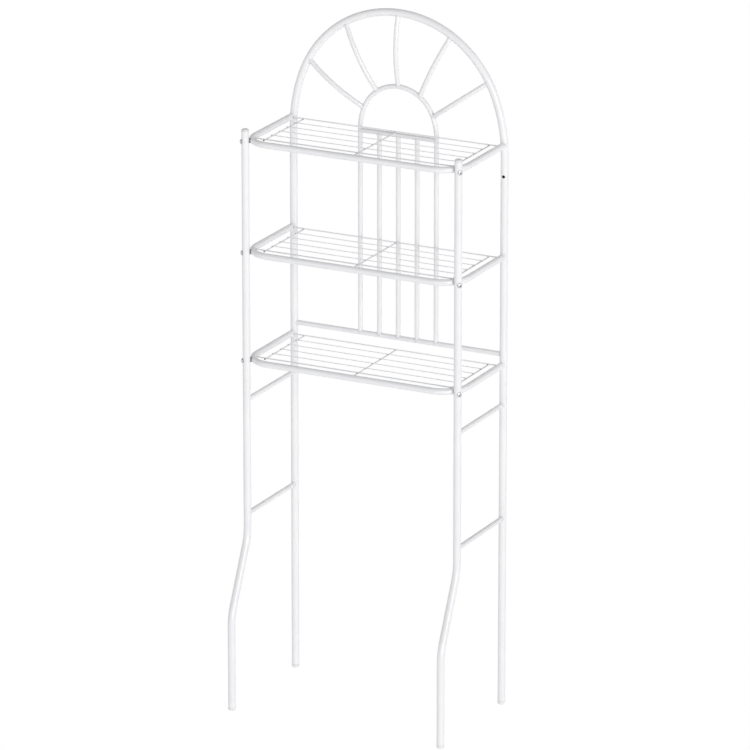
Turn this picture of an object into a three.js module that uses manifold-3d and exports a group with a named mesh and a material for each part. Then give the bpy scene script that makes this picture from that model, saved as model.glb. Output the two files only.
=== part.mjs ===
// Over-the-toilet storage rack in powder-coated steel tube: a back panel with a sunburst arch, two
// front posts, two bent lower legs, two straight lower legs, and three bolted wire shelves.
// Millimetres, +Z up, +X to the right, the front faces -Y. The origin is on the floor, in the middle
// of the rack's box. Inside the rack group, y = 0 is the plane of the back posts.

import * as THREE from "three";
import { mergeVertices } from "three/addons/utils/BufferGeometryUtils.js";
import Module from "manifold-3d";

const wasm = await Module();
wasm.setup();

// Overall frame
const postX = 289; // side planes, from the middle to a post's centre
const frontPostY = -254; // front posts, ahead of the back posts
const footReach = 88; // the front feet stand this much further forward
const jointZ = 840; // where upper posts slip onto the lower legs
const frontPostTopZ = 1475; // cut end of the front posts, under their caps
const footZ = 10; // cut end of the legs, above their feet

// Tubes and wires
const postTube = { outer: 9.5, inner: 8.5, sides: 16 };
const shelfTube = { outer: 8, inner: 7, sides: 12 };
const panelTube = { outer: 6, inner: 5, sides: 12 };
const gap = 0.3; // clearance between pieces that touch or are welded
const wireSides = 8;

// Back panel
const outerArch = { halfWidth: postX, springZ: 1422.4, sideRadius: 400, topRadius: 281 };
const innerArch = { halfWidth: 104.3, springZ: 1441.9, sideRadius: 140, topRadius: 100 };
const railZ = 916;
const barZ = 1436.4;
const balusterX = { left: -51.7, middle: 0, right: 51.7 };
const spokeHubZ = 1429; // the five spokes point at this height on the centre line
const spokePitch = THREE.MathUtils.degToRad(27.5);
const spokeCount = 5;
const spokeBow = 15; // the spokes bulge forward by this much
const spokeTrim = 1.5; // a spoke starts this far past the inner arch's centre line
const archSteps = { outerSide: 5, outerTop: 16, innerSide: 2, innerTop: 12, spoke: 4 };
const bracketHole = { radius: 4, x: postX + 1.2, z: 1371.6 };

// Side frames
const rungZ = { upper: 787, lower: 490.7 };
const legBend = { radius: 120, topZ: 431.7, bottomZ: 248, steps: 3 };
const connector = { outer: 8.2, inner: 7.2, rise: 36, sink: 6, collar: 9, collarHeight: 3 };

// Shelves
const shelfZ = { top: 1450, middle: 1167.3, bottom: 890.4 };
const shelfFrontY = -265.5;
const cornerRadius = 64;
const cornerSteps = 5;
const rearWireY = -16.5;
const wirePitch = 41;
const wireCount = 6;
const edgeWireRadius = 1.85;
const innerWireRadius = 1.2;
const crossWireRadius = 1.85;
const crossWireX = 254.5;
const crossWireOverhang = 2;
const weldDepth = 0.4; // how far crossing wires are pressed into each other

// Fasteners
const corner = { x: postX - cornerRadius, y: shelfFrontY + cornerRadius };
const boltReach = Math.hypot(postX - corner.x, frontPostY - corner.y);
const boltAngle = Math.atan2(frontPostY - corner.y, postX - corner.x);
const bolt = { radius: 2.5, hole: 2.9, head: 5.9, headHeight: 3.4, length: 30 };
const screw = { radius: 2.5, hole: 2.9, head: 4.8, headHeight: 2.6, length: 32 };
const headSides = 12;
const headEdge = 0.4; // share of a head's height that is straight-sided
const washerRadius = 6.2;
const washerSpan = Math.PI / 4; // stretch of shelf corner that the washer is shaped to
const plug = { radius: 6.6, startY: -10.4, length: 14 };

// End caps and feet
const capStem = { radius: 8.1, wall: 1.6 };
const postCap = { lip: 2, dome: 4.6, stem: 14 };
const foot = { flat: 5.5, round: 4.5, stem: 20 };
const capSteps = 3;
const headSteps = 2;

const backY = (postTube.outer + footReach - frontPostY - postTube.outer - gap - screw.headHeight) / 2;

const powderCoat = { color: 0xf1f1f4, roughness: 0.32, metalness: 0.1 };
const whitePlastic = { color: 0xf4f4f3, roughness: 0.45, metalness: 0 };
const greyPlastic = { color: 0x55565a, roughness: 0.6, metalness: 0 };
const zincPlate = { color: 0xa9abac, roughness: 0.35, metalness: 1 };

const vector = (x, y, z) => new THREE.Vector3(x, y, z);

// A run of stations, each a point and a direction, that a section is swept through.
class StationPath extends THREE.Curve {
  constructor(stations) {
    super();
    this.stations = stations;
  }

  station(u) {
    return this.stations[Math.round(u * (this.stations.length - 1))];
  }

  getPointAt(u) {
    return this.station(u).point.clone();
  }

  getTangentAt(u) {
    return this.station(u).tangent.clone();
  }
}

function straightRoute(start, end) {
  const tangent = end.clone().sub(start).normalize();
  return [start, end].map((point) => ({ point, tangent }));
}

// Straight stretches through the given corners, with each inner corner rounded.
function roundedRoute(corners, radius, steps) {
  const stations = [straightRoute(corners[0], corners[1])[0]];
  for (let index = 1; index < corners.length - 1; index += 1) {
    const into = corners[index].clone().sub(corners[index - 1]).normalize();
    const out = corners[index + 1].clone().sub(corners[index]).normalize();
    const turn = into.angleTo(out);
    const inward = out.clone().addScaledVector(into, -out.dot(into)).normalize();
    const start = corners[index].clone().addScaledVector(into, -radius * Math.tan(turn / 2));
    for (let step = 0; step <= steps; step += 1) {
      const angle = (turn * step) / steps;
      stations.push({
        point: start.clone()
          .addScaledVector(into, radius * Math.sin(angle))
          .addScaledVector(inward, radius * (1 - Math.cos(angle))),
        tangent: into.clone().multiplyScalar(Math.cos(angle)).addScaledVector(inward, Math.sin(angle)),
      });
    }
  }
  stations.push(straightRoute(corners.at(-2), corners.at(-1))[1]);
  return stations;
}

// Stations on an arc in the XZ plane, turning from +X towards +Z.
function arcStations(centreX, centreZ, radius, from, to, steps) {
  return Array.from({ length: steps + 1 }, (_, step) => {
    const angle = from + ((to - from) * step) / steps;
    const point = vector(centreX + radius * Math.cos(angle), 0, centreZ + radius * Math.sin(angle));
    return { point, tangent: vector(-Math.sin(angle), 0, Math.cos(angle)) };
  });
}

// Where an arch's slow side curve hands over to its tighter top curve, and that curve's centre.
function archTop({ halfWidth, springZ, sideRadius, topRadius }) {
  const handover = Math.acos((sideRadius - halfWidth) / (sideRadius - topRadius));
  return { handover, centreZ: springZ + (sideRadius - topRadius) * Math.sin(handover) };
}

// Up the right leg, over the top and down the left leg.
function archRoute(arch, legEndZ, sideSteps, topSteps) {
  const { handover, centreZ } = archTop(arch);
  const sideCentreX = arch.halfWidth - arch.sideRadius;
  const end = Math.PI - handover;
  return [
    { point: vector(arch.halfWidth, 0, legEndZ), tangent: vector(0, 0, 1) },
    ...arcStations(sideCentreX, arch.springZ, arch.sideRadius, 0, handover, sideSteps),
    ...arcStations(0, centreZ, arch.topRadius, handover, end, topSteps).slice(1, -1),
    ...arcStations(-sideCentreX, arch.springZ, arch.sideRadius, end, Math.PI, sideSteps),
    { point: vector(-arch.halfWidth, 0, legEndZ), tangent: vector(0, 0, -1) },
  ];
}

function polygon(radius, sides) {
  return Array.from({ length: sides }, (_, side) => {
    const angle = (side * 2 * Math.PI) / sides;
    return new THREE.Vector2(radius * Math.cos(angle), radius * Math.sin(angle));
  });
}

function sweep(shape, route) {
  const extrudePath = new StationPath(route);
  return new THREE.ExtrudeGeometry(shape, { steps: route.length - 1, extrudePath });
}

function tube({ outer, inner, sides }, route) {
  const section = new THREE.Shape(polygon(outer, sides));
  section.holes.push(new THREE.Path(polygon(inner, sides)));
  return sweep(section, route);
}

// The space a tube takes up with its clearance: what a neighbour's end is cut back by.
function clearanceOf({ outer, sides }, route) {
  return sweep(new THREE.Shape(polygon(outer + gap, sides)), route);
}

function rod(radius, sides, start, end) {
  return sweep(new THREE.Shape(polygon(radius, sides)), straightRoute(start, end));
}

function lathe(profile, sides) {
  const points = profile.map(([radius, height]) => new THREE.Vector2(radius, height));
  return new THREE.LatheGeometry(points, sides).rotateX(Math.PI / 2);
}

function toSolid(geometry) {
  const bare = geometry.clone();
  bare.deleteAttribute("normal");
  bare.deleteAttribute("uv");
  const merged = mergeVertices(bare, 1e-4);
  const vertProperties = Float32Array.from(merged.attributes.position.array);
  const triVerts = Uint32Array.from(merged.index.array);
  return new wasm.Manifold(new wasm.Mesh({ numProp: 3, vertProperties, triVerts }));
}

function toGeometry(solid) {
  const mesh = solid.getMesh();
  const geometry = new THREE.BufferGeometry();
  geometry.setAttribute("position", new THREE.BufferAttribute(mesh.vertProperties, 3));
  geometry.setIndex(new THREE.BufferAttribute(mesh.triVerts, 1));
  geometry.computeVertexNormals();
  return geometry;
}

function cut(geometry, cutters) {
  return toGeometry(cutters.reduce((solid, cutter) => solid.subtract(toSolid(cutter)), toSolid(geometry)));
}

function join(geometries) {
  const [first, ...others] = geometries.map(toSolid);
  return toGeometry(others.reduce((solid, other) => solid.add(other), first));
}

function piece(name, geometry, finish) {
  const mesh = new THREE.Mesh(geometry, new THREE.MeshStandardMaterial(finish));
  mesh.name = name;
  return mesh;
}

const sideSigns = Object.entries({ left: -1, right: 1 });
const shelfLevels = Object.entries(shelfZ);
const outerArchRoute = archRoute(outerArch, jointZ, archSteps.outerSide, archSteps.outerTop);
const innerArchRoute = archRoute(innerArch, railZ, archSteps.innerSide, archSteps.innerTop);
const railRoute = straightRoute(vector(-postX, 0, railZ), vector(postX, 0, railZ));
const barRoute = straightRoute(
  vector(-innerArch.halfWidth, 0, barZ),
  vector(innerArch.halfWidth, 0, barZ),
);

// The outer arch runs down into both back posts, drilled for the shelf screws and one bracket hole.
function archTube() {
  const screwHoles = shelfLevels.flatMap(([, z]) => sideSigns.map(([, sign]) => (
    rod(screw.hole, wireSides, vector(sign * postX, -postTube.outer * 2, z),
      vector(sign * postX, postTube.outer * 2, z))
  )));
  const frontWallHole = rod(bracketHole.radius, postTube.sides,
    vector(bracketHole.x, -postTube.outer * 2, bracketHole.z),
    vector(bracketHole.x, 0, bracketHole.z));
  return cut(tube(postTube, outerArchRoute), [...screwHoles, frontWallHole]);
}

// Each spoke is a shallow arc that leaves the panel's plane towards the front.
function spoke(angle) {
  const along = vector(Math.cos(angle), 0, Math.sin(angle));
  const hub = vector(0, 0, spokeHubZ);
  const [inner, outer] = [innerArch, outerArch].map((arch) => {
    const rise = archTop(arch).centreZ - spokeHubZ;
    return rise * along.z + Math.sqrt(arch.topRadius ** 2 - (rise * along.x) ** 2);
  });
  const start = inner + spokeTrim;
  const halfChord = (outer - start) / 2;
  const radius = (halfChord ** 2 + spokeBow ** 2) / (2 * spokeBow);
  const halfTurn = Math.asin(halfChord / radius);
  const route = Array.from({ length: archSteps.spoke + 1 }, (_, step) => {
    const turn = halfTurn * ((2 * step) / archSteps.spoke - 1);
    const point = hub.clone().addScaledVector(along, start + halfChord + radius * Math.sin(turn));
    point.y = radius - spokeBow - radius * Math.cos(turn);
    const tangent = along.clone().multiplyScalar(Math.cos(turn));
    tangent.y = Math.sin(turn);
    return { point, tangent };
  });
  return cut(tube(panelTube, route), [
    clearanceOf(postTube, outerArchRoute),
    clearanceOf(panelTube, innerArchRoute),
  ]);
}

function backPanel() {
  const panel = new THREE.Group();
  const rail = clearanceOf(panelTube, railRoute);
  const bar = clearanceOf(panelTube, barRoute);
  panel.add(piece("arch_tube", archTube(), powderCoat));
  panel.add(piece("inner_arch", cut(tube(panelTube, innerArchRoute), [rail]), powderCoat));
  panel.add(piece("panel_bottom_rail",
    cut(tube(panelTube, railRoute), [clearanceOf(postTube, outerArchRoute)]), powderCoat));
  panel.add(piece("panel_top_bar",
    cut(tube(panelTube, barRoute), [clearanceOf(panelTube, innerArchRoute)]), powderCoat));
  for (const [place, x] of Object.entries(balusterX)) {
    const route = straightRoute(vector(x, 0, railZ), vector(x, 0, barZ));
    panel.add(piece(`baluster_${place}`, cut(tube(panelTube, route), [rail, bar]), powderCoat));
  }
  for (let index = 0; index < spokeCount; index += 1) {
    const angle = Math.PI / 2 + spokePitch * ((spokeCount - 1) / 2 - index);
    panel.add(piece(`arch_spoke_${index + 1}`, spoke(angle), powderCoat));
  }
  return panel;
}

// A connector sleeve is welded inside the top of each lower leg, and the upper post slips over it.
function legWithConnector(route) {
  const top = jointZ + connector.rise;
  const collarBottom = jointZ - connector.sink;
  const collarTop = collarBottom + connector.collarHeight;
  const end = route.at(-1).point;
  const sleeve = lathe([
    [connector.inner, collarBottom],
    [connector.collar, collarBottom],
    [connector.collar, collarTop],
    [connector.outer, collarTop],
    [connector.outer, top],
    [connector.inner, top],
    [connector.inner, collarBottom],
  ], postTube.sides).translate(end.x, end.y, 0);
  return join([tube(postTube, route), sleeve]);
}

function frontLeg() {
  const route = roundedRoute([
    vector(0, frontPostY - footReach, footZ),
    vector(0, frontPostY - footReach, legBend.bottomZ),
    vector(0, frontPostY, legBend.topZ),
    vector(0, frontPostY, jointZ - gap),
  ], legBend.radius, legBend.steps);
  return legWithConnector(route);
}

function backLeg() {
  return legWithConnector(straightRoute(vector(0, 0, footZ), vector(0, 0, jointZ - gap)));
}

// The front posts carry one diagonal bolt hole for each shelf.
function frontPost(sign) {
  const outward = vector(sign * Math.cos(boltAngle), Math.sin(boltAngle), 0);
  const holes = shelfLevels.map(([, z]) => {
    const centre = vector(0, frontPostY, z);
    return rod(bolt.hole, wireSides, centre.clone().addScaledVector(outward, -2 * postTube.outer),
      centre.clone().addScaledVector(outward, 2 * postTube.outer));
  });
  const route = straightRoute(vector(0, frontPostY, jointZ), vector(0, frontPostY, frontPostTopZ));
  return cut(tube(postTube, route), holes);
}

// A short upright stretch, long enough to notch any tube that meets a post.
function uprightRoute(y, z) {
  const reach = 2 * postTube.outer;
  return straightRoute(vector(0, y, z - reach), vector(0, y, z + reach));
}

function sideRung(z) {
  const route = straightRoute(vector(0, frontPostY, z), vector(0, 0, z));
  const posts = [0, frontPostY].map((y) => (
    clearanceOf(postTube, uprightRoute(y, z))
  ));
  return cut(tube(panelTube, route), posts);
}

// A quarter of an ellipse from the rim of a cap to the edge of its middle.
function roundedRim(rimRadius, rimHeight, middleRadius, middleHeight, steps) {
  return Array.from({ length: steps + 1 }, (_, step) => {
    const angle = (step / steps) * (Math.PI / 2);
    return [
      middleRadius + (rimRadius - middleRadius) * Math.cos(angle),
      rimHeight + (middleHeight - rimHeight) * Math.sin(angle),
    ];
  });
}

// Plug-in cap: a domed head over the tube's end and a hollow stem down inside the tube.
function postCapShape() {
  return lathe([
    [capStem.radius - capStem.wall, -postCap.stem],
    [capStem.radius, -postCap.stem],
    [capStem.radius, gap],
    [postTube.outer, gap],
    ...roundedRim(postTube.outer, postCap.lip, 0, postCap.lip + postCap.dome, capSteps),
    [0, gap],
    [capStem.radius - capStem.wall, 0],
    [capStem.radius - capStem.wall, -postCap.stem],
  ], postTube.sides);
}

// Plug-in foot: a rounded pad under the tube's end and a hollow stem up inside the tube.
function footCapShape() {
  return lathe([
    [0, 0],
    ...roundedRim(postTube.outer, foot.round, foot.flat, 0, capSteps).reverse(),
    [postTube.outer, footZ - gap],
    [capStem.radius, footZ - gap],
    [capStem.radius, footZ + foot.stem],
    [capStem.radius - capStem.wall, footZ + foot.stem],
    [capStem.radius - capStem.wall, footZ],
    [0, footZ - gap],
  ], postTube.sides);
}

function sideFrame(side, sign) {
  const frame = new THREE.Group();
  frame.position.x = sign * postX;
  frame.add(piece(`front_post_${side}`, frontPost(sign), powderCoat));
  frame.add(piece(`front_leg_${side}`, frontLeg(), powderCoat));
  frame.add(piece(`back_leg_${side}`, backLeg(), powderCoat));
  for (const [level, z] of Object.entries(rungZ)) {
    frame.add(piece(`side_rung_${level}_${side}`, sideRung(z), powderCoat));
  }
  const cap = piece(`post_cap_${side}`, postCapShape(), whitePlastic);
  cap.position.set(0, frontPostY, frontPostTopZ);
  frame.add(cap);
  for (const [place, y] of Object.entries({ front: frontPostY - footReach, back: 0 })) {
    const pad = piece(`foot_cap_${place}_${side}`, footCapShape(), whitePlastic);
    pad.position.y = y;
    frame.add(pad);
  }
  return frame;
}

const shelfFrameRoute = roundedRoute([
  vector(-postX, 0, 0),
  vector(-postX, shelfFrontY, 0),
  vector(postX, shelfFrontY, 0),
  vector(postX, 0, 0),
], cornerRadius, cornerSteps);

// One bent tube round three sides, notched onto the back posts and drilled at its front corners.
function shelfFrame(z) {
  const boltHoles = sideSigns.map(([, sign]) => {
    const outward = vector(sign * Math.cos(boltAngle), Math.sin(boltAngle), 0);
    const centre = vector(sign * corner.x, corner.y, 0);
    return rod(bolt.hole, wireSides, centre.clone().addScaledVector(outward, cornerRadius),
      centre.clone().addScaledVector(outward, cornerRadius + 2 * shelfTube.outer));
  });
  const backPosts = clearanceOf(postTube, outerArchRoute).translate(0, 0, -z);
  return cut(tube(shelfTube, shelfFrameRoute), [backPosts, ...boltHoles]);
}

// Long wires lie on three stouter cross wires, and the two edge wires run out to the frame.
function wireGrid() {
  const frontWireY = rearWireY - wirePitch * (wireCount - 1);
  const longWires = Array.from({ length: wireCount }, (_, index) => {
    const atEdge = index === 0 || index === wireCount - 1;
    const radius = atEdge ? edgeWireRadius : innerWireRadius;
    const reach = atEdge ? postX : crossWireX + crossWireOverhang;
    const y = rearWireY - wirePitch * index;
    return rod(radius, wireSides, vector(-reach, y, 0), vector(reach, y, 0));
  });
  const crossZ = weldDepth - innerWireRadius - crossWireRadius;
  const crossWires = [-crossWireX, 0, crossWireX].map((x) => {
    const frontEnd = x === 0 ? shelfFrontY : frontWireY - crossWireOverhang;
    return rod(crossWireRadius, wireSides, vector(x, rearWireY + crossWireOverhang, crossZ),
      vector(x, frontEnd, crossZ));
  });
  return cut(join([...crossWires, ...longWires]), [clearanceOf(shelfTube, shelfFrameRoute)]);
}

// Pan-head fastener along +X: the head's underside is at x = 0 and the shank runs to -X.
function panHead({ radius, head, headHeight, length }) {
  return lathe([
    [0, -length],
    [radius, -length],
    [radius, 0],
    [head, 0],
    ...roundedRim(head, headHeight * headEdge, 0, headHeight, headSteps),
  ], headSides).rotateY(Math.PI / 2);
}

// Ring between post and shelf corner, shaped to both tubes. The post's axis is the local Z axis.
function saddleWasher() {
  const arc = Array.from({ length: cornerSteps + 1 }, (_, step) => {
    const angle = (step / cornerSteps - 0.5) * washerSpan;
    return {
      point: vector(cornerRadius * Math.cos(angle) - boltReach, cornerRadius * Math.sin(angle), 0),
      tangent: vector(-Math.sin(angle), Math.cos(angle), 0),
    };
  });
  const washerLength = boltReach - cornerRadius;
  const blank = rod(washerRadius, postTube.sides, vector(-washerLength, 0, 0), vector(0, 0, 0));
  const post = clearanceOf(postTube, uprightRoute(0, 0));
  const hole = rod(bolt.hole, wireSides, vector(-2 * washerLength, 0, 0), vector(washerLength, 0, 0));
  return cut(blank, [post, clearanceOf(shelfTube, arc), hole]);
}

// Threaded plug in the rear end of a shelf's side tube, for the screw through the back post.
function tubePlug() {
  const [near, far] = [plug.startY, plug.startY - plug.length];
  const blank = rod(plug.radius, shelfTube.sides, vector(0, far, 0), vector(0, near, 0));
  return cut(blank, [rod(screw.hole, wireSides, vector(0, far - gap, 0), vector(0, near + gap, 0))]);
}

function shelf(level, z) {
  const group = new THREE.Group();
  group.position.z = z;
  group.add(piece(`shelf_frame_${level}`, shelfFrame(z), powderCoat));
  group.add(piece(`shelf_wires_${level}`, wireGrid(), powderCoat));
  for (const [side, sign] of sideSigns) {
    const atFront = new THREE.Group();
    atFront.position.set(sign * postX, frontPostY, 0);
    atFront.rotation.z = sign > 0 ? boltAngle : Math.PI - boltAngle;
    const cornerBolt = piece(`corner_bolt_${level}_${side}`, panHead(bolt), zincPlate);
    cornerBolt.position.x = postTube.outer + gap;
    atFront.add(cornerBolt);
    atFront.add(piece(`saddle_washer_${level}_${side}`, saddleWasher(), greyPlastic));
    group.add(atFront);

    const rearScrew = piece(`rear_screw_${level}_${side}`, panHead(screw), zincPlate);
    rearScrew.position.set(sign * postX, postTube.outer + gap, 0);
    rearScrew.rotation.z = Math.PI / 2;
    group.add(rearScrew);
    const threadedPlug = piece(`tube_plug_${level}_${side}`, tubePlug(), zincPlate);
    threadedPlug.position.x = sign * postX;
    group.add(threadedPlug);
  }
  return group;
}

const rack = new THREE.Group();
rack.position.y = backY;
rack.add(backPanel());
for (const [side, sign] of sideSigns) {
  rack.add(sideFrame(side, sign));
}
for (const [level, z] of shelfLevels) {
  rack.add(shelf(level, z));
}

export default rack;
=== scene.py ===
import math

import bmesh
import bpy
from mathutils import Matrix, Vector


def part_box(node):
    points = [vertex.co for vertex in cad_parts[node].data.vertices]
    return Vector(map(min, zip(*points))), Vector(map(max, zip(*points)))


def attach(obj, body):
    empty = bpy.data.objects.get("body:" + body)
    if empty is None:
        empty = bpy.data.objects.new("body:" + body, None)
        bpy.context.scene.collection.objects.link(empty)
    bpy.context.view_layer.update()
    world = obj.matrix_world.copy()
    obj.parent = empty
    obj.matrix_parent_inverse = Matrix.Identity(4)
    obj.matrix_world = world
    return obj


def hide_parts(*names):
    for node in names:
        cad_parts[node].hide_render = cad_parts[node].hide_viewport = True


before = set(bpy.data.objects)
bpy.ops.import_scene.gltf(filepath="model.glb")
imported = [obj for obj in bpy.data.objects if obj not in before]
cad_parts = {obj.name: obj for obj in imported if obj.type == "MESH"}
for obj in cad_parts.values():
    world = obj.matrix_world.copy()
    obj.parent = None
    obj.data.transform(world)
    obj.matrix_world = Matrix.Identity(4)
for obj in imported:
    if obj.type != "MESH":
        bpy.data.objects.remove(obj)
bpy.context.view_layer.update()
print("frame loaded:", len(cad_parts), "nodes")

mm = 0.001
samePlace = 1e-6  # points closer than this are merged
upward, rightward, backward = Vector((0, 0, 1)), Vector((1, 0, 0)), Vector((0, 1, 0))
sides = {"left": -1, "right": 1}
# edges stay sharp where their faces turn by more degrees than this
sharpFrom = {"cut": 35, "moulded": 40, "washer": 30, "wire": 50, "weld": 80}


def middleOf(node):
    low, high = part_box(node)
    return (low + high) / 2


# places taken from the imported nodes
postX = middleOf("front_post_right").x
frontY = middleOf("front_post_right").y
backY = middleOf("arch_tube").y
postFoot, postTop = (end.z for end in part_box("front_post_right"))
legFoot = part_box("back_leg_right")[0].z
footY = middleOf("foot_cap_front_right").y
railZ = middleOf("panel_bottom_rail").z
barZ = middleOf("panel_top_bar").z
rungHeights = {level: middleOf(f"side_rung_{level}_right").z for level in ("upper", "lower")}
shelfHeights = {level: middleOf(f"shelf_frame_{level}").z for level in ("top", "middle", "bottom")}


def shade(red, green, blue):
    return (red, green, blue, 1)


class Socket:
    # a node's output, which adds Math nodes when it is used in a sum
    def __init__(self, finish, output):
        self.finish = finish
        self.output = output

    def maths(self, operation, first, second):
        sockets = {0: first, 1: second}
        return self.finish.node("ShaderNodeMath", {"operation": operation}, sockets)["Value"]

    def __add__(self, other):
        return self.maths("ADD", self, other)

    def __mul__(self, other):
        return self.maths("MULTIPLY", self, other)

    def __pow__(self, other):
        return self.maths("POWER", self, other)

    def __rpow__(self, other):
        return self.maths("POWER", other, self)

    __radd__ = __add__
    __rmul__ = __mul__


class Node:
    def __init__(self, finish, made):
        self.finish = finish
        self.made = made

    def __getitem__(self, name):
        return Socket(self.finish, self.made.outputs[name])


class Finish:
    # builds one node tree: a material's or the world's
    def __init__(self, owner):
        owner.use_nodes = True
        self.owner = owner
        self.tree = owner.node_tree
        self.tree.nodes.clear()

    def node(self, kind, settings=None, sockets=None):
        made = self.tree.nodes.new(kind)
        for key, value in (settings or {}).items():
            if key == "stops":
                for stop, (place, grey) in zip(made.color_ramp.elements, value):
                    stop.position = place
                    stop.color = shade(grey, grey, grey)
            else:
                setattr(made, key, value)
        for key, value in (sockets or {}).items():
            if isinstance(value, Socket):
                self.tree.links.new(value.output, made.inputs[key])
            else:
                made.inputs[key].default_value = value
        return Node(self, made)

    def mixed(self, share, first, second):
        # sockets 0, 6 and 7 are the factor and the two colours, and output 2 is the colour
        sockets = {0: share, 6: first, 7: second}
        return self.node("ShaderNodeMix", {"data_type": "RGBA"}, sockets)[2]

    def noise(self, where, scale, detail=2.0, roughness=0.5):
        sockets = {"Vector": where, "Scale": scale, "Detail": detail, "Roughness": roughness}
        return self.node("ShaderNodeTexNoise", None, sockets)["Fac"]

    def ramp(self, value, low, high):
        # black up to low, white from high
        settings = {"stops": [(low, 0), (high, 1)]}
        return self.node("ShaderNodeValToRGB", settings, {"Fac": value})["Color"]

    def place(self):
        return self.node("ShaderNodeTexCoord")["Object"]

    def bump(self, height, strength, distance, normal=None):
        sockets = {"Height": height, "Strength": strength, "Distance": distance}
        if normal:
            sockets["Normal"] = normal
        return self.node("ShaderNodeBump", None, sockets)["Normal"]

    def surface(self, sockets):
        shader = self.node("ShaderNodeBsdfPrincipled", None, sockets)
        self.node("ShaderNodeOutputMaterial", None, {"Surface": shader["BSDF"]})
        return self.owner


powderLook = {
    "colour": shade(0.90, 0.90, 0.915),
    "shadowColour": shade(0.86, 0.86, 0.88),  # where the coat is thin
    "patchScale": 9,
    "patchRange": (0.35, 0.7),
    "peelScale": 620,  # orange peel, about 1.6 mm across
    "peelShare": 0.8,
    "grainScale": 3200,
    "grainShare": 0.2,
    "peelHeight": 0.12 * mm,
    "peelStrength": 0.22,
    "rippleScale": 900,  # on weld beads only
    "rippleHeight": 0.5 * mm,
    "rippleStrength": 0.0,
    "roughness": 0.24,
    "roughnessSpread": 0.12,
    "clear": 0.35,
    "clearRoughness": 0.12,
    "ior": 1.5,
}


def powderCoat(name, look):
    finish = Finish(bpy.data.materials.new(name))
    where = finish.place()
    patches = finish.noise(where, look["patchScale"], detail=3)
    peel = finish.noise(where, look["peelScale"])
    grain = finish.noise(where, look["grainScale"], detail=1)
    skin = peel * look["peelShare"] + grain * look["grainShare"]
    normal = finish.bump(skin, look["peelStrength"], look["peelHeight"])
    if look["rippleStrength"]:
        ripple = finish.noise(where, look["rippleScale"], detail=3, roughness=0.7)
        normal = finish.bump(ripple, look["rippleStrength"], look["rippleHeight"], normal)
    share = finish.ramp(patches, *look["patchRange"])
    return finish.surface({
        "Base Color": finish.mixed(share, look["shadowColour"], look["colour"]),
        "Roughness": look["roughness"] + patches * look["roughnessSpread"],
        "Normal": normal,
        "Coat Weight": look["clear"],
        "Coat Roughness": look["clearRoughness"],
        "IOR": look["ior"],
    })


weldLook = dict(powderLook, colour=shade(0.80, 0.80, 0.815), shadowColour=shade(0.70, 0.70, 0.72),
                roughness=0.32, rippleStrength=0.5)
# the shelf wires' weld nuggets and end beads: dark grey as painted shade where the wires cross and
# meet the frame
weldShadeLook = dict(powderLook, colour=shade(0.42, 0.42, 0.43), shadowColour=shade(0.22, 0.22, 0.23),
                roughness=0.4, rippleStrength=0.6, patchScale=260, clear=0.1)

plasticLook = {
    "colour": shade(0.85, 0.85, 0.85),
    "flowColour": shade(0.80, 0.80, 0.805),
    "flowScale": 60,
    "grainScale": 5200,
    "grainHeight": 0.04 * mm,
    "grainStrength": 0.35,
    "roughness": 0.36,
    "roughnessSpread": 0.16,
    "ior": 1.46,
}


def mouldedPlastic(name, look):
    finish = Finish(bpy.data.materials.new(name))
    where = finish.place()
    flow = finish.noise(where, look["flowScale"], detail=3)
    grain = finish.noise(where, look["grainScale"], roughness=0.6)
    return finish.surface({
        "Base Color": finish.mixed(flow, look["flowColour"], look["colour"]),
        "Roughness": look["roughness"] + grain * look["roughnessSpread"],
        "Normal": finish.bump(grain, look["grainStrength"], look["grainHeight"]),
        "IOR": look["ior"],
    })


# dark grey plastic of the saddle washers, also used as painted shade on the ring under each bolt
# head
greyPlasticLook = dict(plasticLook, colour=shade(0.34, 0.34, 0.345),
                       flowColour=shade(0.15, 0.15, 0.155), flowScale=420, roughness=0.5)

zincLook = {
    "colour": shade(0.76, 0.765, 0.77),
    "dullColour": shade(0.50, 0.51, 0.52),
    "spangleScale": 900,
    "spangleRange": (0.3, 0.65),
    "scratchScale": 2600,
    "scratchHeight": 0.05 * mm,
    "scratchStrength": 0.25,
    "roughness": 0.22,
    "roughnessSpread": 0.3,
}


def zincPlate(name, look):
    finish = Finish(bpy.data.materials.new(name))
    where = finish.place()
    spangle = finish.noise(where, look["spangleScale"], detail=3, roughness=0.6)
    scratches = finish.noise(where, look["scratchScale"], roughness=0.7)
    share = finish.ramp(spangle, *look["spangleRange"])
    return finish.surface({
        "Base Color": finish.mixed(share, look["dullColour"], look["colour"]),
        "Roughness": look["roughness"] + spangle * look["roughnessSpread"],
        "Metallic": 1.0,
        "Normal": finish.bump(scratches, look["scratchStrength"], look["scratchHeight"]),
    })


# near-black: painted shade in the screw heads' cross recesses
recessShadeLook = {
    "colour": shade(0.02, 0.02, 0.022),
    "edgeColour": shade(0.06, 0.06, 0.063),
    "scale": 1500,
    "roughness": 0.7,
    "roughnessSpread": 0.2,
    "specular": 0.2,
}
# the tubes' insides: bare steel, made near-black as painted shade inside the tubes
steelAndShadeLook = dict(recessShadeLook, colour=shade(0.05, 0.05, 0.053),
                     edgeColour=shade(0.10, 0.098, 0.095), scale=240, roughness=0.6, specular=0.3)


def darkMetalAndShade(name, look):
    # a near-black finish that paints shade in recesses and inside tubes, over the dark steel
    finish = Finish(bpy.data.materials.new(name))
    soot = finish.noise(finish.place(), look["scale"])
    return finish.surface({
        "Base Color": finish.mixed(soot, look["colour"], look["edgeColour"]),
        "Roughness": look["roughness"] + soot * look["roughnessSpread"],
        "Specular IOR Level": look["specular"],
    })


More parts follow.
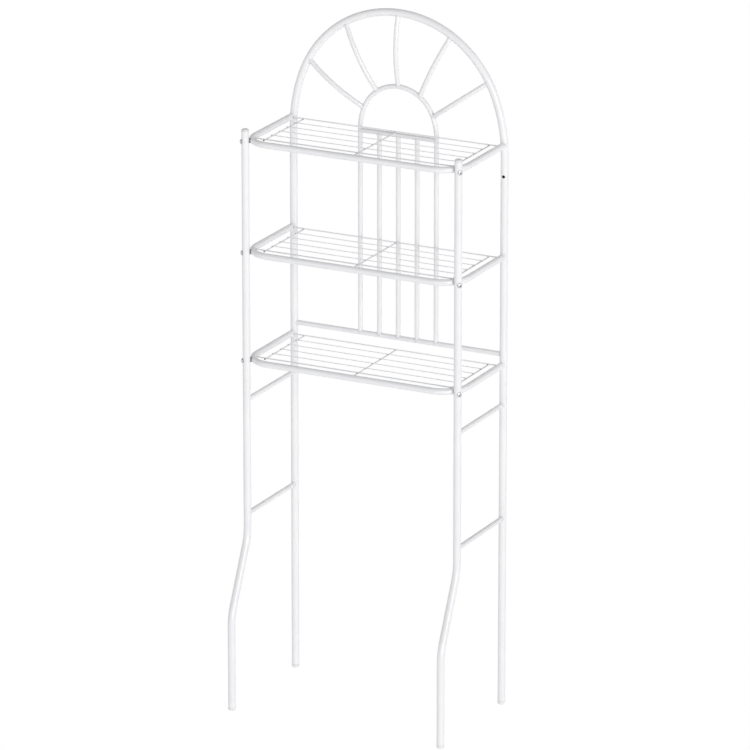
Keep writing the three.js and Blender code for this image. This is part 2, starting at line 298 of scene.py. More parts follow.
coat = powderCoat("powderCoat", powderLook)
weldCoat = powderCoat("weldedPowderCoat", weldLook)
paintedWeldShade = powderCoat("paintedWeldShadeCoat", weldShadeLook)
whitePlastic = mouldedPlastic("whitePlastic", plasticLook)
greyPlasticAndShade = mouldedPlastic("greyPlasticAndShade", greyPlasticLook)
zinc = zincPlate("zincPlate", zincLook)
recess = darkMetalAndShade("screwRecessShade", recessShadeLook)
bareSteelAndShade = darkMetalAndShade("bareSteelAndShade", steelAndShadeLook)
coatedTube = (coat, bareSteelAndShade)
print("finishes ready")


def onlyEdges(geometry):
    return [part for part in geometry if isinstance(part, bmesh.types.BMEdge)]


class Pipe:
    # a tube that grows from a ring by straight runs and bends, then is closed or given its wall
    def __init__(self, radius, rounds, start, along):
        self.bm = bmesh.new()
        turn = Vector(along).to_track_quat("Z", "Y").to_matrix().to_4x4()
        ring = bmesh.ops.create_circle(self.bm, cap_ends=False, radius=radius, segments=rounds,
                                       matrix=Matrix.Translation(start) @ turn)["verts"]
        self.rim = list(dict.fromkeys(edge for vert in ring for edge in vert.link_edges))
        self.startRim = self.rim

    def straight(self, move):
        grown = bmesh.ops.extrude_edge_only(self.bm, edges=self.rim)["geom"]
        fresh = [part for part in grown if isinstance(part, bmesh.types.BMVert)]
        bmesh.ops.translate(self.bm, verts=fresh, vec=move)
        self.rim = [edge for edge in onlyEdges(grown) if all(vert in fresh for vert in edge.verts)]
        return self

    def bend(self, centre, axis, angle, steps):
        grown = bmesh.ops.spin(self.bm, geom=self.rim, cent=centre, axis=axis, dvec=(0, 0, 0),
                               angle=angle, space=Matrix.Identity(4), steps=steps,
                               use_duplicate=False)["geom_last"]
        self.rim = onlyEdges(grown)
        return self

    def closed(self, rounding=0.0):
        for rim in (self.startRim, self.rim):
            bmesh.ops.edgeloop_fill(self.bm, edges=rim)
        if rounding:
            bmesh.ops.bevel(self.bm, geom=self.startRim + self.rim, offset=rounding, segments=3,
                            profile=0.5, affect="EDGES", material=-1)
        bmesh.ops.recalc_face_normals(self.bm, faces=self.bm.faces)
        return self.bm

    def walled(self, wall):
        # the inner faces take the second material, because the coat doesn't reach inside; for the
        # tubes it is near-black, which is bare steel and also painted shade inside the tube
        bmesh.ops.recalc_face_normals(self.bm, faces=self.bm.faces)
        grown = bmesh.ops.solidify(self.bm, geom=list(self.bm.faces), thickness=wall)["geom"]
        for part in grown:
            if isinstance(part, bmesh.types.BMFace):
                part.material_index = 1
        return self.bm


def meshFrom(bm, name):
    mesh = bpy.data.meshes.new(name)
    bm.to_mesh(mesh)
    bm.free()
    return mesh


def turned(profile, rounds):
    # a solid of revolution round the Z axis, from its half outline of (radius, height) points
    bm = bmesh.new()
    corners = [bm.verts.new((radius, 0, height)) for radius, height in profile]
    outline = [bm.edges.new(pair) for pair in zip(corners, corners[1:])]
    bmesh.ops.spin(bm, geom=corners + outline, cent=(0, 0, 0), axis=upward, dvec=(0, 0, 0),
                   angle=math.tau, steps=rounds, use_merge=True, use_duplicate=False)
    bmesh.ops.remove_doubles(bm, verts=bm.verts, dist=samePlace)
    bmesh.ops.recalc_face_normals(bm, faces=bm.faces)
    return bm


def linked(name, data):
    made = bpy.data.objects.new(name, data)
    bpy.context.scene.collection.objects.link(made)
    return made


def evaluated(holder):
    # the mesh that an object shows, with its modifiers or its curve's thickness
    graph = bpy.context.evaluated_depsgraph_get()
    return bpy.data.meshes.new_from_object(holder.evaluated_get(graph))


def carve(mesh, cutters):
    # cuts each cutter's shape out of the mesh, and the cut faces take the cutter's material
    body = linked("carving", mesh)
    tools = []
    for cutter in cutters:
        tool = linked("cutter", cutter)
        tools.append(tool)
        step = body.modifiers.new("cut", "BOOLEAN")
        step.operation = "DIFFERENCE"
        step.solver = "EXACT"
        step.object = tool
        step.material_mode = "TRANSFER"
    carved = evaluated(body)
    for spare in [body] + tools:
        bpy.data.objects.remove(spare)
    return carved


def rounded(bm, name, material, sharp=sharpFrom["cut"]):
    # a smooth-shaded mesh whose hard corners stay sharp
    # a mesh that has materials keeps them, and a pair is for outer and inner faces
    mesh = bm if isinstance(bm, bpy.types.Mesh) else meshFrom(bm, name)
    if not mesh.materials:
        for layer in material if isinstance(material, tuple) else (material,):
            mesh.materials.append(layer)
    mesh.shade_smooth()
    mesh.set_sharp_from_angle(angle=math.radians(sharp))
    return mesh


def pieceOf(meshes, name, node):
    # joins meshes into one piece that rides on the frame and stands for a CAD node
    bm = bmesh.new()
    materials = []
    for mesh in meshes:
        before = len(bm.faces)
        bm.from_mesh(mesh)
        bm.faces.ensure_lookup_table()
        for material in mesh.materials:
            if material not in materials:
                materials.append(material)
        for face in bm.faces[before:]:
            face.material_index = materials.index(mesh.materials[face.material_index])
    joined = meshFrom(bm, name)
    for material in materials:
        joined.materials.append(material)
    piece = linked(name, joined)
    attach(piece, "root")
    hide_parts(node)


weld = {
    "bead": 1.0 * mm,
    "wireBead": 0.7 * mm,
    "ripple": 0.16,  # share of the bead's thickness
    "ripples": 17,
    "points": 40,
    "wirePoints": 20,
    "halvings": 24,  # of the distance searched for a joint
    "legSearch": 100 * mm,
    "spokeSearch": 16 * mm,
    "wireSearch": 60 * mm,
}


def meeting(start, along, radius, gapTo, far, points):
    # the loop where a tube's wall, running from start, first touches a neighbour
    # gapTo is 0 on the neighbour's surface, and far is the distance searched
    across = Vector(along).orthogonal().normalized()
    beside = Vector(along).cross(across)
    loop = []
    for index in range(points):
        angle = math.tau * index / points
        wall = start + (across * math.cos(angle) + beside * math.sin(angle)) * radius
        near, end = 0.0, far
        for halving in range(weld["halvings"]):
            half = (near + end) / 2
            if gapTo(wall + along * half) > 0:
                near = half
            else:
                end = half
        loop.append(wall + along * near)
    return loop


def weldBead(loop, bead, material):
    curve = bpy.data.curves.new("bead", "CURVE")
    curve.dimensions = "3D"
    curve.bevel_depth = bead
    curve.bevel_resolution = 1
    line = curve.splines.new("POLY")
    line.points.add(len(loop) - 1)
    line.use_cyclic_u = True
    for index, (point, spot) in enumerate(zip(line.points, loop)):
        point.co = (*spot, 1)
        turn = math.tau * index / len(loop)
        point.radius = 1 + weld["ripple"] * math.sin(turn * weld["ripples"])
    holder = linked("bead", curve)
    mesh = evaluated(holder)
    bpy.data.objects.remove(holder)
    mesh.materials.clear()
    return rounded(mesh, "bead", material, sharpFrom["weld"])


def lineGap(origin, direction, radius):
    # the gap from a point to a straight tube
    origin, direction = Vector(origin), Vector(direction).normalized()

    def gapTo(point):
        away = point - origin
        return (away - direction * away.dot(direction)).length - radius
    return gapTo


def solidRod(radius, start, end, rounds=48, rounding=0.0):
    run = Vector(end) - Vector(start)
    return Pipe(radius, rounds, start, run.normalized()).straight(run).closed(rounding)


def cuttingRod(middle, direction, radius, reach=30 * mm):
    middle, direction = Vector(middle), Vector(direction)
    rod = solidRod(radius, middle - direction * reach, middle + direction * reach)
    return meshFrom(rod, "cutter")


postTube = {"radius": 9.5 * mm, "wall": 1 * mm, "rounds": 48}
panelTube = {"radius": 6 * mm, "wall": 1 * mm, "rounds": 40}


def weldedTube(name, node, start, end, ends):
    # a straight tube between two neighbours
    # each end gives the shape that copes the tube and the gap to the neighbour's surface
    start, end = Vector(start), Vector(end)
    run = end - start
    along = run.normalized()
    radius = panelTube["radius"]
    tube = Pipe(radius, panelTube["rounds"], start, along).straight(run).walled(panelTube["wall"])
    coped = carve(rounded(tube, name, coatedTube), [cutter for cutter, gapTo in ends])
    meshes = [rounded(coped, name, coat)]
    middle = (start + end) / 2
    for (cutter, gapTo), direction in zip(ends, (-along, along)):
        loop = meeting(middle, direction, radius, gapTo, run.length / 2, weld["points"])
        meshes.append(weldBead(loop, weld["bead"], weldCoat))
    pieceOf(meshes, name, node)


def postEnd(x, y, z):
    # the end of a tube that meets an upright post
    centre, radius = (x, y, z), postTube["radius"]
    return cuttingRod(centre, upward, radius), lineGap(centre, upward, radius)


outerArch = {
    "halfWidth": postX,
    "springZ": 1422.4 * mm,
    "sideRadius": 400 * mm,
    "topRadius": 281 * mm,
    "sideSteps": 10,
    "topSteps": 64,
}
innerArch = {
    "halfWidth": 104.3 * mm,
    "springZ": 1441.9 * mm,
    "sideRadius": 140 * mm,
    "topRadius": 100 * mm,
    "sideSteps": 8,
    "topSteps": 40,
}


def crownOf(arch):
    # the turn at which the slow side curve hands over to the tighter crown
    # and the height of the crown's centre
    spare = arch["sideRadius"] - arch["topRadius"]
    turn = math.acos((arch["sideRadius"] - arch["halfWidth"]) / spare)
    return turn, arch["springZ"] + spare * math.sin(turn)


def archPipe(arch, tube, footZ, grown=0.0):
    turn, crownZ = crownOf(arch)
    halfWidth, springZ = arch["halfWidth"], arch["springZ"]
    sideX = halfWidth - arch["sideRadius"]
    pipe = Pipe(tube["radius"] + grown, tube["rounds"], (halfWidth, backY, footZ), upward)
    pipe.straight(upward * (springZ - footZ))
    pipe.bend((sideX, backY, springZ), -backward, turn, arch["sideSteps"])
    pipe.bend((0, backY, crownZ), -backward, math.pi - 2 * turn, arch["topSteps"])
    pipe.bend((-sideX, backY, springZ), -backward, turn, arch["sideSteps"])
    pipe.straight(-upward * (springZ - footZ))
    return pipe


def archGap(arch, radius):
    # the gap from a point to an arch and its legs
    turn, crownZ = crownOf(arch)
    halfWidth, springZ = arch["halfWidth"], arch["springZ"]
    sideX = halfWidth - arch["sideRadius"]

    def gapTo(point):
        x, z = abs(point.x), point.z
        if z <= springZ:
            off = x - halfWidth
        elif math.atan2(z - springZ, x - sideX) <= turn:
            off = math.hypot(x - sideX, z - springZ) - arch["sideRadius"]
        else:
            off = math.hypot(x, z - crownZ) - arch["topRadius"]
        return math.hypot(off, point.y - backY) - radius
    return gapTo


bracketHole = {"radius": 4 * mm, "x": postX + 1.2 * mm, "z": 1371.6 * mm}
drillStart = (bracketHole["x"], backY - 2 * postTube["radius"], bracketHole["z"])
drillEnd = (bracketHole["x"], backY, bracketHole["z"])
drill = meshFrom(solidRod(bracketHole["radius"], drillStart, drillEnd), "drill")
drill.materials.append(coat)
outerTube = archPipe(outerArch, postTube, postFoot).walled(postTube["wall"])
outerTube = carve(rounded(outerTube, "archTube", coatedTube), [drill])
pieceOf([rounded(outerTube, "archTube", coat)], "archTube", "arch_tube")

railCut = cuttingRod((0, backY, railZ), rightward, panelTube["radius"], postX)
railGap = lineGap((0, backY, railZ), rightward, panelTube["radius"])
innerTube = archPipe(innerArch, panelTube, railZ).walled(panelTube["wall"])
innerTube = carve(rounded(innerTube, "innerArch", coatedTube), [railCut])
innerMeshes = [rounded(innerTube, "innerArch", coat)]
for sign in sides.values():
    above = Vector((sign * innerArch["halfWidth"], backY, railZ + weld["legSearch"]))
    footLoop = meeting(above, -upward, panelTube["radius"], railGap, weld["legSearch"],
                       weld["points"])
    innerMeshes.append(weldBead(footLoop, weld["bead"], weldCoat))
pieceOf(innerMeshes, "innerArch", "inner_arch")

weldedTube("panelBottomRail", "panel_bottom_rail", (-postX, backY, railZ), (postX, backY, railZ),
           [postEnd(sign * postX, backY, railZ) for sign in sides.values()])

panelBar = {
    "halfWidth": innerArch["halfWidth"],
    "copeReach": 12 * mm,  # stays on the straight part of the inner arch's legs
}
innerGap = archGap(innerArch, panelTube["radius"])
barEnds = [(sign * panelBar["halfWidth"], backY, barZ) for sign in sides.values()]
barCopes = [cuttingRod(end, upward, panelTube["radius"], panelBar["copeReach"]) for end in barEnds]
weldedTube("panelTopBar", "panel_top_bar", *barEnds, [(cope, innerGap) for cope in barCopes])

balusters = {"left": -51.7 * mm, "middle": 0.0, "right": 51.7 * mm}
barCut = cuttingRod((0, backY, barZ), rightward, panelTube["radius"], panelBar["halfWidth"])
barGap = lineGap((0, backY, barZ), rightward, panelTube["radius"])
for place, x in balusters.items():
    weldedTube(f"baluster{place.title()}", f"baluster_{place}",
               (x, backY, railZ), (x, backY, barZ), [(railCut, railGap), (barCut, barGap)])

spokes = {
    "hubZ": 1429 * mm,
    "pitch": math.radians(27.5),
    "count": 5,
    "bow": 15 * mm,
    "inset": 1.5 * mm,
    "steps": 24,
}
outerGap = archGap(outerArch, postTube["radius"])
outerCut = meshFrom(archPipe(outerArch, postTube, postFoot).closed(), "cutter")
innerCut = meshFrom(archPipe(innerArch, panelTube, railZ).closed(), "cutter")


def spoke(index):
    # a shallow arc that bows out of the panel towards the front
    angle = math.pi / 2 + spokes["pitch"] * ((spokes["count"] - 1) / 2 - index)
    along = Vector((math.cos(angle), 0, math.sin(angle)))
    hub = Vector((0, backY, spokes["hubZ"]))
    reaches = []
    for arch in (innerArch, outerArch):
        rise = crownOf(arch)[1] - spokes["hubZ"]
        across = math.sqrt(arch["topRadius"] ** 2 - (rise * along.x) ** 2)
        reaches.append(rise * along.z + across)
    first, last = reaches[0] + spokes["inset"], reaches[1]
    half = (last - first) / 2
    radius = (half ** 2 + spokes["bow"] ** 2) / (2 * spokes["bow"])
    turn = math.asin(half / radius)
    centre = hub + along * (first + half) + backward * (radius - spokes["bow"])
    heading = along * math.cos(turn) - backward * math.sin(turn)
    pipe = Pipe(panelTube["radius"], panelTube["rounds"], hub + along * first, heading)
    pipe.bend(centre, along.cross(backward), 2 * turn, spokes["steps"])
    name = f"archSpoke{index + 1}"
    body = rounded(pipe.walled(panelTube["wall"]), name, coatedTube)
    meshes = [rounded(carve(body, [outerCut, innerCut]), name, coat)]
    for start, way, gapTo in ((first, -1, innerGap), (last, 1, outerGap)):
        tangent = along * math.cos(turn) + backward * math.sin(turn) * way
        end = hub + along * start
        back = weld["spokeSearch"]
        loop = meeting(end - tangent * way * back, tangent * way, panelTube["radius"], gapTo, back,
                       weld["points"])
        meshes.append(weldBead(loop, weld["bead"], weldCoat))
    pieceOf(meshes, name, f"arch_spoke_{index + 1}")


for index in range(spokes["count"]):
    spoke(index)
print("back panel done")

legs = {
    "bendRadius": 120 * mm,
    "topZ": 431.7 * mm,
    "bottomZ": 248 * mm,
    "steps": 12,
    "seam": 0.3 * mm,
}


def bentLeg(x):
    # up from the foot, back through two equal bends, then up to the joint
    rise, lean = legs["topZ"] - legs["bottomZ"], frontY - footY
    angle = math.atan2(lean, rise)
    cutBack = legs["bendRadius"] * math.tan(angle / 2)
    slope = Vector((0, lean, rise)).normalized()
    pipe = Pipe(postTube["radius"], postTube["rounds"], (x, footY, legFoot), upward)
    pipe.straight(upward * (legs["bottomZ"] - cutBack - legFoot))
    low = Vector((x, footY + legs["bendRadius"], legs["bottomZ"] - cutBack))
    pipe.bend(low, -rightward, angle, legs["steps"])
    pipe.straight(slope * (math.hypot(rise, lean) - 2 * cutBack))
    high = Vector((x, frontY - legs["bendRadius"], legs["topZ"] + cutBack))
    pipe.bend(high, rightward, angle, legs["steps"])
    pipe.straight(upward * (postFoot - legs["seam"] - legs["topZ"] - cutBack))
    return pipe


def straightTube(x, y, low, high):
    pipe = Pipe(postTube["radius"], postTube["rounds"], (x, y, low), upward)
    return pipe.straight(upward * (high - low))


for side, sign in sides.items():
    x, ending = sign * postX, side.title()
    uprights = {
        "frontPost": ("front_post", straightTube(x, frontY, postFoot, postTop)),
        "frontLeg": ("front_leg", bentLeg(x)),
        "backLeg": ("back_leg", straightTube(x, backY, legFoot, postFoot - legs["seam"])),
    }
    for name, (node, pipe) in uprights.items():
        tube = rounded(pipe.walled(postTube["wall"]), "upright", coatedTube)
        pieceOf([tube], f"{name}{ending}", f"{node}_{side}")
    for level, z in rungHeights.items():
        weldedTube(f"sideRung{level.title()}{ending}", f"side_rung_{level}_{side}",
                   (x, frontY, z), (x, backY, z), [postEnd(x, y, z) for y in (frontY, backY)])
print("side frames done")

capShape = {
    "rounds": 56,
    "steps": 14,
    "stem": 8.1 * mm,
    "stemWall": 1.6 * mm,
    "stemLength": 14 * mm,
    "leadIn": 0.8 * mm,  # the stem's taper, with its depth
    "leadDepth": 0.4 * mm,
    "gap": 0.3 * mm,
    "edge": 0.2 * mm,
    "lip": 2 * mm,
    "dome": 4.6 * mm,
    "gateRadius": 1.1 * mm,  # the moulding dimple
    "gateDepth": 0.25 * mm,
    "gateEdge": 0.03 * mm,
    "gateTaper": 0.9,
}
footShape = {
    "steps": 10,
    "flat": 5.5 * mm,
    "round": 4.5 * mm,
    "stemLength": 20 * mm,
    "gap": 0.3 * mm,
    "hollow": 0.6 * mm,
    "hollowInset": 1.2 * mm,
    "rimInset": 0.8 * mm,
}


def arcPoints(centreRadius, centreHeight, reachRadius, reachHeight, start, end, steps):
    points = []
    for step in range(steps + 1):
        angle = start + (end - start) * step / steps
        points.append((centreRadius + reachRadius * math.cos(angle),
                       centreHeight + reachHeight * math.sin(angle)))
    return points


def postCap():
    rim, stem = postTube["radius"], capShape["stem"]
    bore, low = stem - capShape["stemWall"], -capShape["stemLength"]
    crown, gate = capShape["lip"] + capShape["dome"], capShape["gateRadius"]
    gateFloor = crown - capShape["gateDepth"]
    dome = arcPoints(0, capShape["lip"], rim, capShape["dome"], 0, math.pi / 2, capShape["steps"])
    return turned([
        (bore, low),
        (stem - capShape["leadDepth"], low),
        (stem, low + capShape["leadIn"]),
        (stem, capShape["gap"]),
        (rim - capShape["edge"], capShape["gap"]),
        (rim, capShape["gap"] + capShape["edge"]),
        *dome[:-1],
        (gate, crown - capShape["gateEdge"]),
        (gate * capShape["gateTaper"], gateFloor),
        (0, gateFloor),
        (0, 0),
        (bore, 0),
        (bore, low),
    ], capShape["rounds"])


def footCap():
    rim, stem = postTube["radius"], capShape["stem"]
    bore, top = stem - capShape["stemWall"], legFoot - footShape["gap"]
    flat, stemTop = footShape["flat"], legFoot + footShape["stemLength"]
    heel = arcPoints(flat, footShape["round"], rim - flat, footShape["round"], -math.pi / 2, 0,
                     footShape["steps"])
    return turned([
        (0, footShape["hollow"]),
        (flat - footShape["hollowInset"], footShape["hollow"]),
        (flat - footShape["rimInset"], 0),
        *heel,
        (rim, top - capShape["edge"]),
        (rim - capShape["edge"], top),
        (stem, top),
        (stem, stemTop - capShape["leadIn"]),
        (stem - capShape["leadDepth"], stemTop),
        (bore, stemTop),
        (bore, legFoot),
        (0, legFoot),
    ], capShape["rounds"])


def placed(mesh, matrix):
    copy = mesh.copy()
    copy.transform(matrix)
    return copy


capMesh = rounded(postCap(), "postCap", whitePlastic, sharpFrom["moulded"])
footMesh = rounded(footCap(), "footCap", whitePlastic, sharpFrom["moulded"])
for side, sign in sides.items():
    x, ending = sign * postX, side.title()
    cap = placed(capMesh, Matrix.Translation((x, frontY, postTop)))
    pieceOf([cap], f"postCap{ending}", f"post_cap_{side}")
    for place, y in {"front": footY, "back": backY}.items():
        foot = placed(footMesh, Matrix.Translation((x, y, 0)))
        pieceOf([foot], f"footCap{place.title()}{ending}", f"foot_cap_{place}_{side}")
print("caps and feet done")

shelf = {
    "radius": 8 * mm,
    "wall": 1 * mm,
    "rounds": 40,
    "cornerRadius": 64 * mm,
    "cornerSteps": 20,
    "frontY": backY - 265.5 * mm,
    "rearClearance": 0.3 * mm,
}
corner = Vector((postX - shelf["cornerRadius"], shelf["frontY"] + shelf["cornerRadius"], 0))


def shelfGap(z):
    # the gap from a point to the shelf frame's tube
    def gapTo(point):
        x, y = abs(point.x), point.y
        if y >= corner.y:
            off = x - postX
        elif x <= corner.x:
            off = y - shelf["frontY"]
        else:
            off = math.hypot(x - corner.x, y - corner.y) - shelf["cornerRadius"]
        return math.hypot(off, point.z - z) - shelf["radius"]
    return gapTo


def shelfPipe(z):
    # round three sides from the left back post to the right one
    pipe = Pipe(shelf["radius"], shelf["rounds"], (-postX, backY, z), -backward)
    pipe.straight(-backward * (backY - corner.y))
    pipe.bend((-corner.x, corner.y, z), upward, math.pi / 2, shelf["cornerSteps"])
    pipe.straight(rightward * 2 * corner.x)
    pipe.bend((corner.x, corner.y, z), upward, math.pi / 2, shelf["cornerSteps"])
    pipe.straight(backward * (backY - corner.y))
    return pipe


grid = {
    "rearY": backY - 16.5 * mm,
    "pitch": 41 * mm,
    "count": 6,
    "edgeRadius": 1.75 * mm,
    "innerRadius": 1.2 * mm,
    "crossRadius": 1.85 * mm,
    "crossX": 254.5 * mm,
    "overhang": 2 * mm,
    "weldDepth": 0.4 * mm,
    "bite": 0.3 * mm,  # how far a wire's end runs into its weld
    "rounds": 18,
    "cutEdge": 0.25 * mm,
}
nugget = {
    "drop": 1.5 * mm,
    "inner": 2.2 * mm,
    "edge": 2.6 * mm,
    "end": 2.0 * mm,
    "frame": 2.3 * mm,
    "subdivisions": 2,
}
crossPlaces = (-grid["crossX"], 0, grid["crossX"])


def wire(radius, start, end):
    bm = solidRod(radius, start, end, grid["rounds"], grid["cutEdge"])
    return rounded(bm, "wire", coat, sharpFrom["wire"])


def weldNugget(x, y, z, radius):
    bm = bmesh.new()
    bmesh.ops.create_icosphere(bm, subdivisions=nugget["subdivisions"], radius=radius)
    bmesh.ops.translate(bm, verts=bm.verts, vec=(x, y, z))
    return rounded(bm, "nugget", paintedWeldShade, sharpFrom["weld"])


def wireGrid(level, z):
    # long wires across the shelf and cross wires under them, with welds where they meet, coloured
    # dark as painted shade at the crossings and wire ends
    meshes, gapTo = [], shelfGap(z)
    frontWire = grid["rearY"] - grid["pitch"] * (grid["count"] - 1)
    crossZ = z + grid["weldDepth"] - grid["innerRadius"] - grid["crossRadius"]
    for index in range(grid["count"]):
        y = grid["rearY"] - grid["pitch"] * index
        kind = "edge" if index in (0, grid["count"] - 1) else "inner"
        radius, reach = grid[f"{kind}Radius"], grid["crossX"] + grid["overhang"]
        if kind == "edge":
            middle = Vector((0, y, z))
            loops = [meeting(middle, rightward * sign, radius, gapTo, postX, weld["wirePoints"])
                     for sign in sides.values()]
            meshes += [weldBead(loop, weld["wireBead"], paintedWeldShade) for loop in loops]
            reach = max(spot.x for spot in loops[1]) + grid["bite"]
            meshes += [weldNugget(sign * reach, y, z, nugget["frame"]) for sign in sides.values()]
        meshes.append(wire(radius, (-reach, y, z), (reach, y, z)))
        meshes += [weldNugget(x, y, z - nugget["drop"], nugget[kind]) for x in crossPlaces]
    rear = grid["rearY"] + grid["overhang"]
    for x in crossPlaces:
        front = frontWire - grid["overhang"]
        if x == 0:
            loop = meeting(Vector((0, frontWire, crossZ)), -backward, grid["crossRadius"], gapTo,
                           weld["wireSearch"], weld["wirePoints"])
            meshes.append(weldBead(loop, weld["wireBead"], paintedWeldShade))
            front = min(spot.y for spot in loop) - grid["bite"]
        else:
            meshes.append(weldNugget(x, front, crossZ, nugget["end"]))
        meshes.append(wire(grid["crossRadius"], (x, rear, crossZ), (x, front, crossZ)))
    pieceOf(meshes, f"shelfWires{level.title()}", f"shelf_wires_{level}")


rearCut = archPipe(outerArch, postTube, postFoot, shelf["rearClearance"]).closed()
rearCut = meshFrom(rearCut, "cutter")
for level, z in shelfHeights.items():
    tube = rounded(shelfPipe(z).walled(shelf["wall"]), "shelfFrame", coatedTube)
    tube = rounded(carve(tube, [rearCut]), "shelfFrame", coat)
    pieceOf([tube], f"shelfFrame{level.title()}", f"shelf_frame_{level}")
    wireGrid(level, z)
print("shelves done")

bolt = {
    "shank": 2.5 * mm,
    "head": 5.9 * mm,
    "height": 2.3 * mm,
    "length": 30 * mm,
    "slotLength": 6.4 * mm,
    "slotWidth": 1.3 * mm,
    "slotDepth": 2 * mm,
}
screw = {
    "shank": 2.5 * mm,
    "head": 4.8 * mm,
    "height": 2.6 * mm,
    "length": 32 * mm,
    "slotLength": 5.2 * mm,
    "slotWidth": 1.1 * mm,
    "slotDepth": 1.6 * mm,
}
headShape = {
    "rounds": 48,
    "domeSteps": 12,
    "side": 0.35,  # share of the height that is straight
    "edge": 0.3 * mm,
    "slotFloor": (0.55, 0.7, 1),
    "slotTurn": 0.5,
}
thread = {
    "pitch": 0.8 * mm,
    "depth": 0.35 * mm,
    "tip": 1 * mm,
    "tipInset": 0.8 * mm,
    "plain": 3 * mm,
}
# a dark grey ring under each bolt head: painted shade below the head
ring = {"radius": 5.6 * mm, "height": 0.8 * mm, "edge": 0.1 * mm, "sag": 1.2 * mm}  # under a head
washer = {
    "radius": 6.2 * mm,
    "hole": 2.9 * mm,
    "clearance": 0.3 * mm,
    "rounds": 56,
    "cut": 20 * mm,
    "sweep": math.pi / 4,
    "sweepSteps": 16,
}
outward = Vector((postX, frontY, 0)) - corner
boltReach, boltAngle = outward.length, math.atan2(outward.y, outward.x)
standOff = postTube["radius"] + washer["clearance"]


def panHead(size):
    # the head is above z = 0 with a cross recess, and the threaded shank is below it
    straight = size["height"] * headShape["side"]
    dome = arcPoints(0, straight, size["head"], size["height"] - straight, 0, math.pi / 2,
                     headShape["domeSteps"])
    ridges = []
    for index in range(int((size["length"] - thread["plain"]) / thread["pitch"])):
        low = -size["length"] + thread["tip"] + index * thread["pitch"]
        ridges.append((size["shank"] - thread["depth"], low))
        ridges.append((size["shank"], low + thread["pitch"] / 2))
    outline = [
        (0, -size["length"]),
        (size["shank"] - thread["tipInset"], -size["length"]),
        *ridges,
        (size["shank"], 0),
        (size["head"] - headShape["edge"], 0),
        (size["head"], headShape["edge"]),
        *dome,
    ]
    body = rounded(turned(outline, headShape["rounds"]), "panHead", zinc, sharpFrom["moulded"])
    slots = []
    for turn in (0, math.pi / 2):
        bm = bmesh.new()
        bmesh.ops.create_cube(bm, size=1)
        slotSize = (size["slotLength"], size["slotWidth"], 2 * size["slotDepth"])
        bmesh.ops.scale(bm, verts=bm.verts, vec=slotSize)
        lower = [vert for vert in bm.verts if vert.co.z < 0]
        bmesh.ops.scale(bm, verts=lower, vec=headShape["slotFloor"])
        spin = Matrix.Rotation(turn + headShape["slotTurn"], 3, "Z")
        bmesh.ops.rotate(bm, verts=bm.verts, matrix=spin)
        bmesh.ops.translate(bm, verts=bm.verts, vec=(0, 0, size["height"]))
        slots.append(meshFrom(bm, "slot"))
        # the recess faces are near-black: painted shade
        slots[-1].materials.append(recess)
    return rounded(carve(body, slots), "panHead", zinc, sharpFrom["moulded"])


def saddleWasher():
    # between the post and the shelf's corner, and shaped to both
    # the post's axis is the local Z axis, and outward is +X
    length, clearance = boltReach - shelf["cornerRadius"], washer["clearance"]
    blank = solidRod(washer["radius"], (-length, 0, 0), (0, 0, 0), washer["rounds"])
    blank = rounded(blank, "washer", greyPlasticAndShade)
    post = cuttingRod((0, 0, 0), upward, postTube["radius"] + clearance, washer["cut"])
    hole = meshFrom(solidRod(washer["hole"], (-2 * length, 0, 0), (length, 0, 0)), "cutter")
    centre, turn = (-boltReach, 0, 0), Matrix.Rotation(-washer["sweep"] / 2, 4, "Z")
    start = Matrix.Translation(centre) @ turn @ Vector((shelf["cornerRadius"], 0, 0))
    around = Pipe(shelf["radius"] + clearance, postTube["rounds"], start, turn @ backward)
    around.bend(centre, upward, washer["sweep"], washer["sweepSteps"])
    tubeCut = meshFrom(around.closed(), "cutter")
    return rounded(carve(blank, [post, tubeCut, hole]), "washer", greyPlasticAndShade, sharpFrom["washer"])


boltMesh, screwMesh, washerMesh = panHead(bolt), panHead(screw), saddleWasher()
headShadeRingMesh = solidRod(ring["radius"], (0, 0, 0), (ring["height"], 0, 0), rounding=ring["edge"])
headShadeRingMesh = rounded(headShadeRingMesh, "ring", greyPlasticAndShade, sharpFrom["moulded"])
layDown = Matrix.Rotation(math.pi / 2, 4, "Y")
for level, z in shelfHeights.items():
    for side, sign in sides.items():
        x, ending, node = sign * postX, f"{level.title()}{side.title()}", f"{level}_{side}"
        aim = boltAngle if sign > 0 else math.pi - boltAngle
        atPost = Matrix.Translation((x, frontY, z)) @ Matrix.Rotation(aim, 4, "Z")
        atRing = atPost @ Matrix.Translation((standOff, 0, -ring["sag"]))
        atHead = atRing @ Matrix.Translation((ring["height"], 0, 0)) @ layDown
        pieceOf([placed(boltMesh, atHead), placed(headShadeRingMesh, atRing)],
                f"cornerBolt{ending}", f"corner_bolt_{node}")
        saddle = placed(washerMesh, atPost)
        pieceOf([saddle], f"saddleWasher{ending}", f"saddle_washer_{node}")
        behind = Matrix.Translation((x, backY + standOff, z)) @ Matrix.Rotation(math.pi / 2, 4, "Z")
        rearScrew = placed(screwMesh, behind @ layDown)
        pieceOf([rearScrew], f"rearScrew{ending}", f"rear_screw_{node}")
        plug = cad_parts[f"tube_plug_{node}"]
        plug.data.materials.clear()
        plug.data.materials.append(zinc)
print("fasteners done")

room = {
    "floorSize": 90,
    "floorGrey": 0.3,
    "floorRoughness": 0.9,
    "floorGlow": 0.85,  # what the camera sees
    "bounce": 0.76,  # what lights the rack from below
}
sky = {"horizon": 1.08, "zenith": 0.28, "curve": 0.5}
keyLight = {"azimuth": 50, "height": 6, "strength": 1.72, "softness": 36}
view = {
    "azimuth": 26.9,
    "elevation": 18.17,
    "distance": 16.951,
    "aim": (-0.06406, backY, 0.81004),
    "lens": 328.4,
    "clipEnd": 200,
}
white = shade(1, 1, 1)

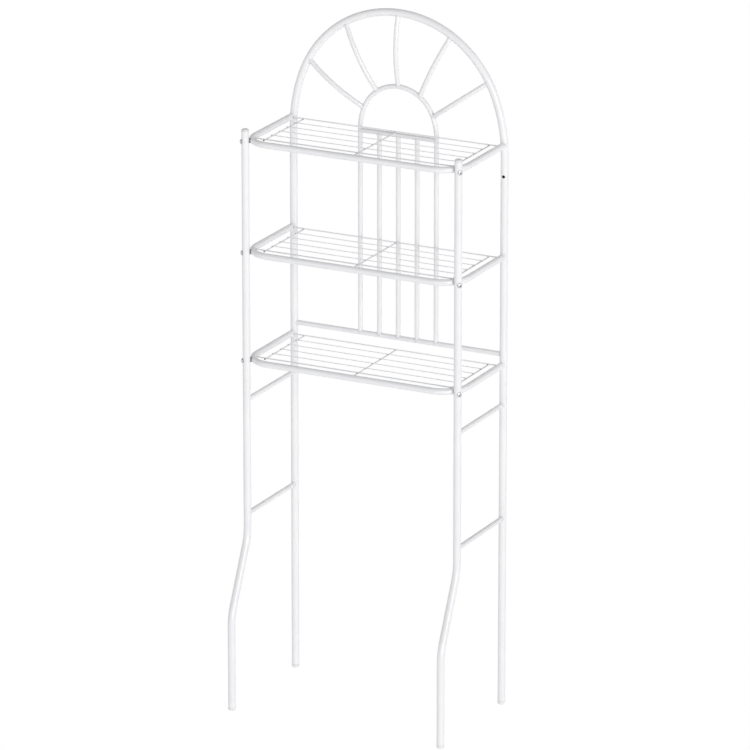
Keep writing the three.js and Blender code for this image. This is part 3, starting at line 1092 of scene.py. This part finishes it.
ground = bmesh.new()
bmesh.ops.create_grid(ground, x_segments=1, y_segments=1, size=room["floorSize"] / 2)
floor = linked("floor", meshFrom(ground, "floor"))
paper = Finish(bpy.data.materials.new("paleFloor"))
seen = paper.node("ShaderNodeBsdfPrincipled", None, {
    "Base Color": shade(*[room["floorGrey"]] * 3),
    "Roughness": room["floorRoughness"],
    "Specular IOR Level": 0.0,
    "Emission Color": white,
    "Emission Strength": room["floorGlow"],
})["BSDF"]
bounced = paper.node("ShaderNodeEmission", None, {
    "Color": white,
    "Strength": room["bounce"],
})["Emission"]
toCamera = paper.node("ShaderNodeLightPath")["Is Camera Ray"]
blend = paper.node("ShaderNodeMixShader", None, {0: toCamera, 1: bounced, 2: seen})["Shader"]
paper.node("ShaderNodeOutputMaterial", None, {"Surface": blend})
floor.data.materials.append(paper.owner)

world = bpy.data.worlds.new("studio")
bpy.context.scene.world = world
air = Finish(world)
heading = air.node("ShaderNodeTexCoord")["Generated"]
skyward = air.node("ShaderNodeSeparateXYZ", None, {"Vector": heading})["Z"]
fade = skyward.maths("MAXIMUM", skyward, 0.0) ** sky["curve"]
glow = sky["horizon"] + fade * (sky["zenith"] - sky["horizon"])
light = air.node("ShaderNodeBackground", None, {"Color": white, "Strength": glow})["Background"]
air.node("ShaderNodeOutputWorld", None, {"Surface": light})


def towards(azimuth, height):
    # from the rack to the viewer: azimuth 0 is straight in front, 90 is from the right
    around, rise = math.radians(azimuth), math.radians(height)
    level = math.cos(rise)
    return Vector((math.sin(around) * level, -math.cos(around) * level, math.sin(rise)))


def lookingAlong(direction):
    return direction.to_track_quat("-Z", "Y").to_euler()


lamp = bpy.data.lights.new("keyLight", "SUN")
lamp.energy = keyLight["strength"]
lamp.angle = math.radians(keyLight["softness"])
sun = linked("keyLight", lamp)
sun.rotation_euler = lookingAlong(-towards(keyLight["azimuth"], keyLight["height"]))

away = towards(view["azimuth"], view["elevation"])
lens = bpy.data.cameras.new("camera")
lens.lens = view["lens"]
lens.clip_end = view["clipEnd"]
camera = linked("camera", lens)
camera.location = Vector(view["aim"]) + away * view["distance"]
camera.rotation_euler = lookingAlong(-away)
bpy.context.scene.camera = camera
bpy.context.scene.view_settings.view_transform = "Standard"
print("room, light and camera ready")
